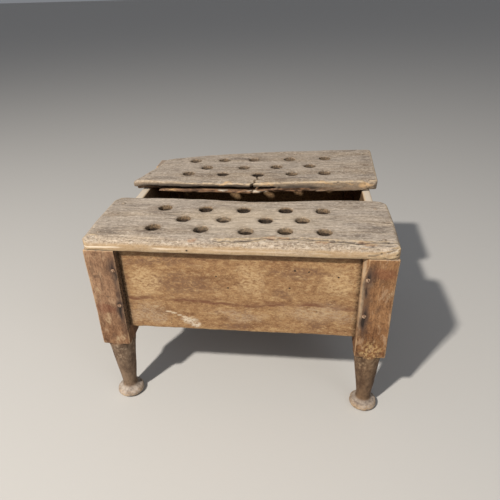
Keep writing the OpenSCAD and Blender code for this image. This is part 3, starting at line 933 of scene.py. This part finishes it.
def rear_marks(points, facing):
    """Grain ripples, a ragged front arris, a thin worn left tip and a torn layer below."""
    x, z = points[:, 0].copy(), points[:, 2].copy()
    sunk = dried(points, facing, 31, 0.22, 0.6, (44, 13, 30), 0.4, 34)
    edge_y = post_face + 190 * mm + np.maximum(x, -40 * mm) * 0.075
    ahead = points[:, 1] - edge_y
    span = 0.5 + 0.5 * waver(x, 34, 33)
    band = rise(ahead, 10 * mm, 4 * mm) * span
    sunk += band * 1.3 * mm * rise(uneven(points, (8, 4, 4), 34), 0.0, 0.7)
    torn_part = rise(z, under + 9 * mm, under + 4 * mm) * rise(ahead, 12 * mm, 6 * mm)
    torn_part *= rise(x, 140 * mm, 90 * mm) * rise(facing[:, 2], 0.9, 0.4)
    sunk += torn_part * 1.5 * mm * rise(uneven(points, (13, 5, 3), 35), -0.2, 0.7)
    sunk += torn_part * 1.3 * mm * fissures(points, 0.3, 39) * rise(x, -20 * mm, 30 * mm)
    chewed = rise(x, 150 * mm, 178 * mm) * rise(ahead, 14 * mm, 5 * mm)
    sunk += chewed * rise(z, under + 10 * mm, under) * 2.4 * mm
    sunk += chewed * 1.2 * mm * rise(uneven(points, (9, 6, 4), 36), 0.1, 0.7)
    worn_over(points, 0, -half_rear_board, -1, top, 1, 4 * mm)
    worn_over(points, 0, -half_rear_board, -1, under, -1, 8 * mm)
    tip = rise(x, -half_rear_board + 18 * mm, -half_rear_board)
    points[:, 2] -= tip * 2.2 * mm
    points[:, 2] += 2 * mm * rise(x, 60 * mm, 180 * mm) * rise(points[:, 1], 60 * mm, board_rear)
    torn, black, wall = hole_marks(points, "rear_board")
    seam = np.full(len(points), 1.0)
    for (x0, y0), (x1, y1) in zip(crack, crack[1:]):
        wide, long = x1 - x0, y1 - y0
        off_x, off_y = x - x0, points[:, 1] - y0
        share = np.clip((off_x * wide + off_y * long) / (wide ** 2 + long ** 2), 0, 1)
        seam = np.minimum(seam, np.hypot(off_x - share * wide, off_y - share * long))
    seam = rise(seam, 1.8 * mm, 0.5 * mm)
    return sunk + torn + seam * 1.1 * mm, black, np.maximum(wall, seam)


rear_cutter = drill("rear_board")
crack_blade(rear_cutter)
split_wedge(rear_cutter)
bmesh.ops.recalc_face_normals(rear_cutter, faces=rear_cutter.faces)
rear_board = seasoned("rear_top_board", rear_blank, 1.3 * mm, 0.7, rear_marks,
                      as_object("rear drill", rear_cutter))


def weathered_board(name, offset, smudges, silver_share, raw_tone):
    """Grey, dry top with brown smudges, and yellower wood on the worn front face and arrises.

    Gives the coat, for a board's own marks and for aged(), and a place that turns the outlines
    of those marks ragged.
    """
    coat = old_wood(
        name, "X", dark=(0.135, 0.095, 0.066), middle=(0.355, 0.275, 0.2),
        light=(0.53, 0.43, 0.325), offset=offset, figure=0.5)
    upward = coat.upward()
    drift = coat.noise(0.006, 0.035, 4.0, 0.6, coat.bent)
    cloud = coat.noise(0.02, 0.032, 4.0, 0.6)
    silver = coat.mask(upward, 0.55, 0.95) * coat.mask(drift, 0.3, 0.6)
    coat.lay((0.44, 0.385, 0.335), silver * silver_share)
    ragged = coat.wander(16.0, 22.0)
    broken = coat.mask(coat.noise(0.04, 0.4, 4.0, place=coat.bent), 0.36, 0.6)
    coat.paint(ragged, (0.12, 0.092, 0.076), smudges, broken * 0.65)
    stain = coat.mask(cloud, 0.54, 0.7) * coat.mask(upward, 0.3, 0.9)
    coat.lay((0.175, 0.122, 0.085), stain * 0.5)
    sloped = coat.mask(upward, 0.99, 0.7)
    frost = coat.noise(0.4, 0.52, 4.0, 0.7)
    coat.lay((0.52, 0.42, 0.305), sloped * coat.mask(frost, 0.5, 0.6) * 0.4)
    coat.lay((0.15, 0.105, 0.07), sloped * coat.mask(frost, 0.48, 0.38) * 0.55)
    raw = coat.mask(upward, 0.6, 0.25)
    coat.lay(raw_tone, raw * coat.mask(cloud, 0.75, 0.45) * 0.75)
    hair = coat.noise(0.03, 1.7, 4.0, 0.65, coat.bent)
    line = coat.mask(hair, 0.55, 0.66) * (0.25 + coat.mask(upward, 0.4, 0.9) * 0.75)
    coat.lay((0.085, 0.06, 0.042), line * 0.42)
    coat.lay((0.6, 0.51, 0.41), coat.mask(hair, 0.44, 0.34) * 0.4)
    speck = coat.noise(0.22, 0.3, 3.0, 0.6)
    flat = 0.2 + coat.mask(upward, 0.1, 0.7) * 0.8
    coat.lay((0.15, 0.11, 0.078), coat.mask(speck, 0.54, 0.66) * flat * 0.42)
    coat.lay((0.64, 0.56, 0.46), coat.mask(speck, 0.46, 0.34) * flat * 0.45)
    coat.height -= line * 0.5
    return coat, ragged


def on_top(spots, tall=14):
    """Spots in millimetres on a top board, from (x, distance back from the posts' front faces,
    half width, half depth)."""
    return [((x, post_face / mm + behind, top / mm), (wide, deep, tall))
            for x, behind, wide, deep in spots]


front_smudges = on_top([(-158, 20, 26, 12), (-107, 19, 24, 9), (-112, 76, 30, 9),
                        (156, 46, 26, 20), (138, 24, 22, 8), (-150, 100, 30, 9)])
coat, ragged = weathered_board("front board wood", 3, front_smudges, 0.5, (0.4, 0.262, 0.135))
coat.paint(ragged, (0.66, 0.545, 0.4), on_top([(20, 62, 125, 58)]), 0.33)
up = coat.part("Z") - under / mm
ahead = coat.part("Y") - board_front / mm
swell = coat.noise(0.018, 0.05, 3.0)
over = up + (swell - 0.5) * 4
# A pale line low on the front face, strongest at the left: partly worn wood and partly a painted
# highlight.
worn_and_highlight_line = coat.mask(over, 4.6, 5.6) * coat.mask(over, 7.8, 6.6)
worn_and_highlight_line = worn_and_highlight_line * coat.mask(ahead, 3.5, 1.5) * coat.mask(swell, 0.4, 0.56)
worn_and_highlight_line = worn_and_highlight_line * (0.3 + coat.mask(coat.part("X"), -60.0, -110.0) * 0.6)
coat.lay((0.74, 0.62, 0.47), worn_and_highlight_line)
coat.paint(ragged, (0.3, 0.15, 0.07), on_top([
    (58, 13, 12, 5), (100, 9, 14, 5), (40, 14, 9, 5), (-52, 5, 8, 5), (150, 9, 16, 5)], 9), 0.6)
coat.paint(coat.wander(3.0, 2.0), (0.02, 0.013, 0.009),
           [((-58, board_front / mm, under / mm + 4.5), (1.9, 5, 1.7))], 0.95)
front_board_wood = aged(coat, (0.5, 0.375, 0.225))

rear_smudges = on_top([(172, 232, 30, 14), (-87, 222, 40, 9), (-16, 300, 60, 9),
                       (150, 349, 44, 8), (60, 215, 40, 8), (-140, 206, 34, 9),
                       (178, 300, 16, 30)])
coat, ragged = weathered_board("rear board wood", 4, rear_smudges, 0.45, (0.25, 0.178, 0.115))
edge_at = post_face / mm + 192
coat.paint(coat.wander(8.0, 5.0), (0.07, 0.055, 0.046), [
    ((-110, edge_at - 3, 255), (62, 9, 6)), ((-160, edge_at, 252), (40, 9, 7)),
    ((-30, edge_at - 3, 256), (60, 7, 4)), ((66, edge_at + 4, 251), (52, 11, 8))], 0.8)
bark = coat.noise(0.1, 0.35, 4.0, 0.65)
low_layer = coat.mask(coat.part("Z"), under / mm + 8.2, under / mm + 6.4)
low_layer = low_layer * coat.spot(coat.here, (-40, edge_at, 248), (240, 60, 60))
bark_tone = coat.mix((0.085, 0.038, 0.02), (0.3, 0.155, 0.075), coat.mask(bark, 0.4, 0.6))
coat.lay(bark_tone, low_layer * 0.85)
coat.paint(ragged, (0.62, 0.54, 0.43), [
    ((4, edge_at - 4, 249), (24, 10, 3.5)), ((-45, edge_at - 4, 249), (14, 10, 3))], 0.75)
coat.paint(ragged, (0.62, 0.4, 0.2), [
    ((-128, edge_at - 2, 247), (17, 10, 3)), ((-42, edge_at - 3, 259), (16, 8, 3)),
    ((112, edge_at + 8, 258), (22, 8, 3)), ((170, edge_at + 12, 255), (14, 10, 5)),
    ((20, edge_at - 2, 259), (14, 7, 2.5)), ((150, edge_at + 10, 257), (12, 8, 3))], 0.75)
coat.paint(coat.wander(3.0, 2.0), (0.02, 0.013, 0.009),
           [((127, edge_at + 11, 259.5), (1.8, 2.4, 1.8))], 0.95)
faced = coat.mask(coat.part("Z"), under / mm + 15.5, under / mm + 13)
rear_board_wood = aged(coat, (0.58, 0.44, 0.28), spared=faced)

boards = ((front_board, "front_top_board", front_board_wood),
          (rear_board, "rear_top_board", rear_board_wood))
for board, name, wood in boards:
    board.data.materials.append(wood)
    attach(board, "root")
    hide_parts(name)

# Nails. Short hand-made iron nails with low domed heads. On the posts their rust is rubbed tan,
# and on the top boards they are buried in the same grey dust as the wood.


def rusted(name, dark, tan, bright):
    """Scaly rust in two tones, rubbed bright on its high places."""
    iron = Finish(name)
    scale = iron.noise(0.7, 0.7, 4.0, 0.6)
    bare = iron.mask(scale, 0.52, 0.62)
    iron.colour = iron.mix(dark, tan, iron.mask(scale, 0.35, 0.55))
    iron.lay(bright, bare * 0.8)
    return iron.seal(0.85 - bare * 0.25, scale, 0.25 * mm)


post_iron = rusted("rubbed rust", (0.085, 0.045, 0.028), (0.27, 0.155, 0.09), (0.5, 0.37, 0.26))
dusty_iron = rusted("dusty iron", (0.15, 0.115, 0.085), (0.29, 0.225, 0.165), (0.42, 0.35, 0.28))
for name, node in frame["nodes"].items():
    if name.endswith("_nails"):
        node.data.materials.clear()
        node.data.materials.append(dusty_iron if "board" in name else post_iron)

# Studio. A pale seamless floor, a small bright lamp high on the left in front, a large faint one
# on the right and a dim sky. The camera looks down on the rack from just right of its middle.
sheet = bmesh.new()
bmesh.ops.create_grid(sheet, x_segments=1, y_segments=1, size=40)
floor = as_object("floor", sheet)
paper = Finish("floor paper")
paper.colour = (0.52, 0.505, 0.48)
tooth = paper.noise(0.9, 0.9, 2.0)
floor.data.materials.append(paper.seal(0.8 + tooth * 0.1, tooth, 0.1 * mm))


def lamp(name, spot, target, size, watts, colour):
    """A square soft lamp that looks at a target."""
    light = bpy.data.lights.new(name, "AREA")
    light.size = size
    light.energy = watts
    light.color = colour
    thing = bpy.data.objects.new(name, light)
    thing.location = spot
    thing.rotation_euler = (Vector(target) - Vector(spot)).to_track_quat("-Z", "Y").to_euler()
    bpy.context.collection.objects.link(thing)


middle = (0, 0, 0.15)
lamp("key lamp", (-1.006, -1.69, 2.147), middle, 0.12, 98, (1.0, 0.95, 0.88))
lamp("fill lamp", (1.3, -1.6, 1.5), middle, 1.2, 7, (0.93, 0.96, 1.0))

world = bpy.data.worlds.new("studio")
bpy.context.scene.world = world
world.use_nodes = True
sky = world.node_tree.nodes["Background"]
sky.inputs["Color"].default_value = (0.9, 0.93, 1.0, 1)
sky.inputs["Strength"].default_value = 0.24

lens = bpy.data.cameras.new("camera")
lens.sensor_width = 36
lens.lens = 34.0
lens.clip_start = 0.01
camera = bpy.data.objects.new("camera", lens)
bpy.context.collection.objects.link(camera)
bpy.context.scene.camera = camera
heading, dip, tilt = math.radians(-7.14), math.radians(28.92), math.radians(-1.65)
look = Vector((math.sin(heading) * math.cos(dip), math.cos(heading) * math.cos(dip),
               -math.sin(dip)))
level_right = Vector((math.cos(heading), -math.sin(heading), 0))
level_up = level_right.cross(look)
right = level_right * math.cos(tilt) + level_up * math.sin(tilt)
above = level_up * math.cos(tilt) - level_right * math.sin(tilt)
turn = Matrix((right, above, -look)).transposed().to_4x4()
camera.matrix_world = Matrix.Translation((0.0763, post_face - 0.4743, 0.5157)) @ turn
bpy.context.scene.view_settings.view_transform = "Standard"
